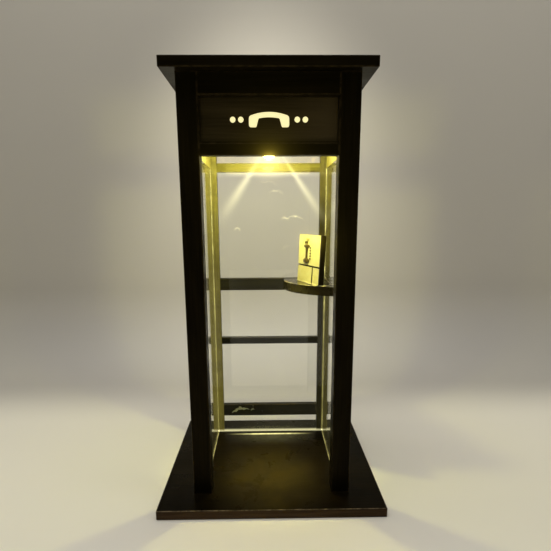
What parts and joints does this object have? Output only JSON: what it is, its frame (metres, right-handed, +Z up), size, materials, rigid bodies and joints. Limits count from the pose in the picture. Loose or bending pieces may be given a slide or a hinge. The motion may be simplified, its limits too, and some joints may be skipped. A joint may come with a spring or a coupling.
{
  "type": "telephone booth lamp",
  "caption": "Table-top telephone booth lamp: dark wooden frame on a square base, clear side and back walls, open front, lit header, corner shelf with a small telephone, lift-off roof.",
  "frame": {"origin": "middle of the base plate's underside", "axes": "+Z up, -Y the open front with the sign, +X to the right when seen from the front"},
  "size_m": [0.16, 0.16, 0.2943],
  "materials": {
    "dark_wood": "dark stained hardwood, satin to gloss lacquer",
    "pale_wood": "bare pale plywood",
    "header_wood": "pale inside, dark stained outside",
    "sign_wood": "dark stained board, satin",
    "cream_sheet": "translucent cream sheet, lit from behind",
    "clear_acrylic": "clear, polished edges",
    "lamp_white": "moulded, satin",
    "lens_clear": "clear dome, lit",
    "chrome_trim": "bright",
    "reflector_metal": "polished",
    "board_white": "circuit board with white mask",
    "led_phosphor": "yellow phosphor",
    "black_plastic": "moulded, fine grain",
    "cell_sleeve": "plain shrink sleeve, bare steel ends",
    "steel": "plated",
    "red_plastic": "moulded, glossy",
    "lead_red": "vinyl",
    "lead_black": "vinyl",
    "phone_cream": "cream painted card",
    "phone_brown": "brown stained"
  },
  "bodies": {
    "booth": {"base_plate": "dark_wood", "front_left_post": "dark_wood", "front_right_post": "dark_wood", "back_left_post": "dark_wood", "back_right_post": "dark_wood", "front_lintel": "dark_wood", "front_top_rail": "dark_wood", "sign_bead": "dark_wood", "sign_panel": "sign_wood", "sign_diffuser": "cream_sheet", "left_header_board": "header_wood", "right_header_board": "header_wood", "back_header_rail": "dark_wood", "back_transom_rail": "dark_wood", "back_upper_rail": "dark_wood", "back_middle_rail": "dark_wood", "back_lower_rail": "dark_wood", "left_wall": "clear_acrylic", "right_wall": "clear_acrylic", "back_wall": "clear_acrylic", "ceiling_board": "pale_wood", "ceiling_cleats": "pale_wood", "lamp_housing": "lamp_white", "lamp_reflector": "reflector_metal", "lamp_lens": "lens_clear", "lamp_ring": "chrome_trim", "led_board": "board_white", "led_chip": "led_phosphor", "battery_holder": "black_plastic", "battery_cells": "cell_sleeve", "battery_contacts": "steel", "switch_body": "black_plastic", "switch_tabs": "steel", "battery_lead": "lead_black", "switch_lead": "lead_black", "return_lead": "lead_red", "corner_shelf": "dark_wood", "telephone_board": "dark_wood", "telephone_face": "phone_cream", "telephone_handset": "phone_brown", "telephone_cradle": "steel", "telephone_buttons": "phone_brown", "telephone_plate": "steel", "base_screws": "steel", "shelf_screws": "steel", "ceiling_screws": "steel", "lamp_screws": "steel"},
    "roof": {"roof_board": "dark_wood", "roof_battens": "pale_wood"},
    "switch_key": {"switch_rocker": "red_plastic"}
  },
  "joints": [
    {"name": "roof_lift", "type": "slide", "parent": "booth", "child": "roof", "axis": [0, 0, 1], "range_m": [0, 0.04]},
    {"name": "switch_tilt", "type": "hinge", "parent": "booth", "child": "switch_key", "pos_m": [0.022, 0.0604, 0.2825], "axis": [0, 0, 1], "range_deg": [-16, 0]}
  ]
}
